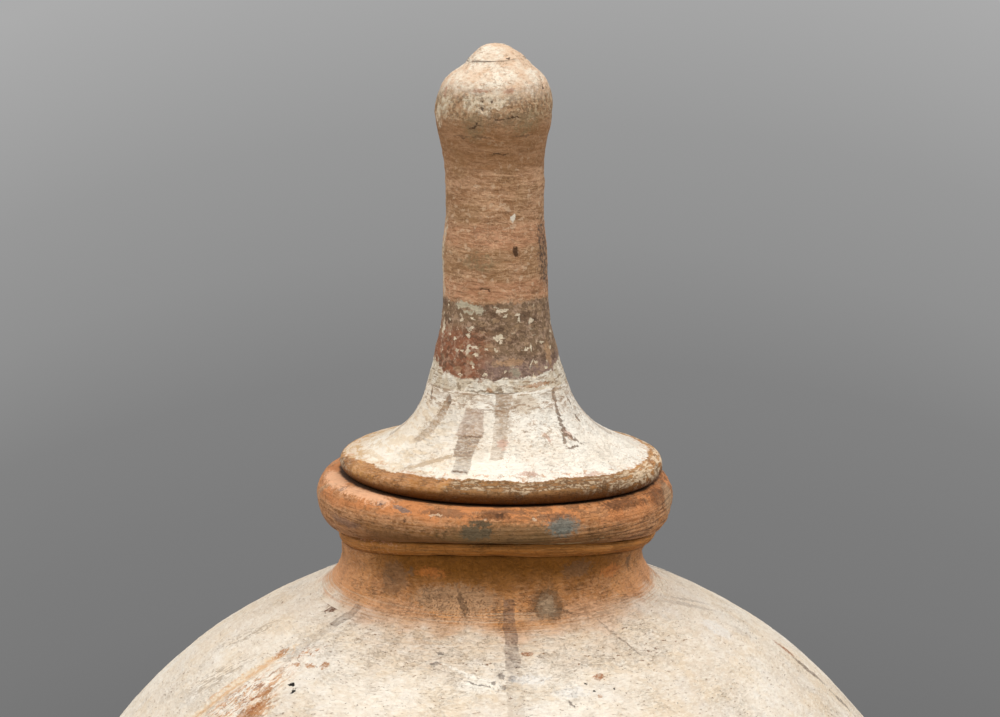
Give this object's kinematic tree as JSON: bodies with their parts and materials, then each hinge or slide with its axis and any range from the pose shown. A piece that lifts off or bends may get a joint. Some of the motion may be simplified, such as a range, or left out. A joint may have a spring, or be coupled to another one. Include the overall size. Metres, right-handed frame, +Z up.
{
  "type": "lidded jar",
  "caption": "Round-bodied terracotta jar on a low foot ring, with a short neck, a thick rolled rim and a flared lid with a tall hollow grip.",
  "frame": {"origin": "middle of the foot ring's resting face", "axes": "+Z up along the jar's upright axis, towards the lid's knob; +X is the side to which the lid has slid over in its loose seat"},
  "size_m": [0.3429, 0.343, 0.5274],
  "materials": {
    "slipped_body": "matt cream-white slip over terracotta, worn, with faint purple-brown painted stripes",
    "slipped_lid": "matt cream-white slip with radial purple-brown painted stripes, worn through to orange clay at the edge",
    "orange_clay": "bare orange terracotta with fine turning lines, matt",
    "worn_clay": "orange-brown terracotta with fine turning lines, stains and remains of slip, matt",
    "bare_clay": "bare terracotta, matt and rough"
  },
  "bodies": {
    "jar": {"foot_ring": "bare_clay", "lower_body": "slipped_body", "upper_body": "slipped_body", "neck": "orange_clay", "rim": "orange_clay"},
    "lid": {"lid_skirt": "slipped_lid", "lid_locating_ring": "bare_clay", "lid_stem": "worn_clay", "lid_knob": "worn_clay", "knob_cap": "worn_clay"}
  },
  "joints": [
    {"name": "lid_lift", "type": "slide", "parent": "jar", "child": "lid", "axis": [0, 0, 1], "range_m": [0, 0.15]}
  ]
}
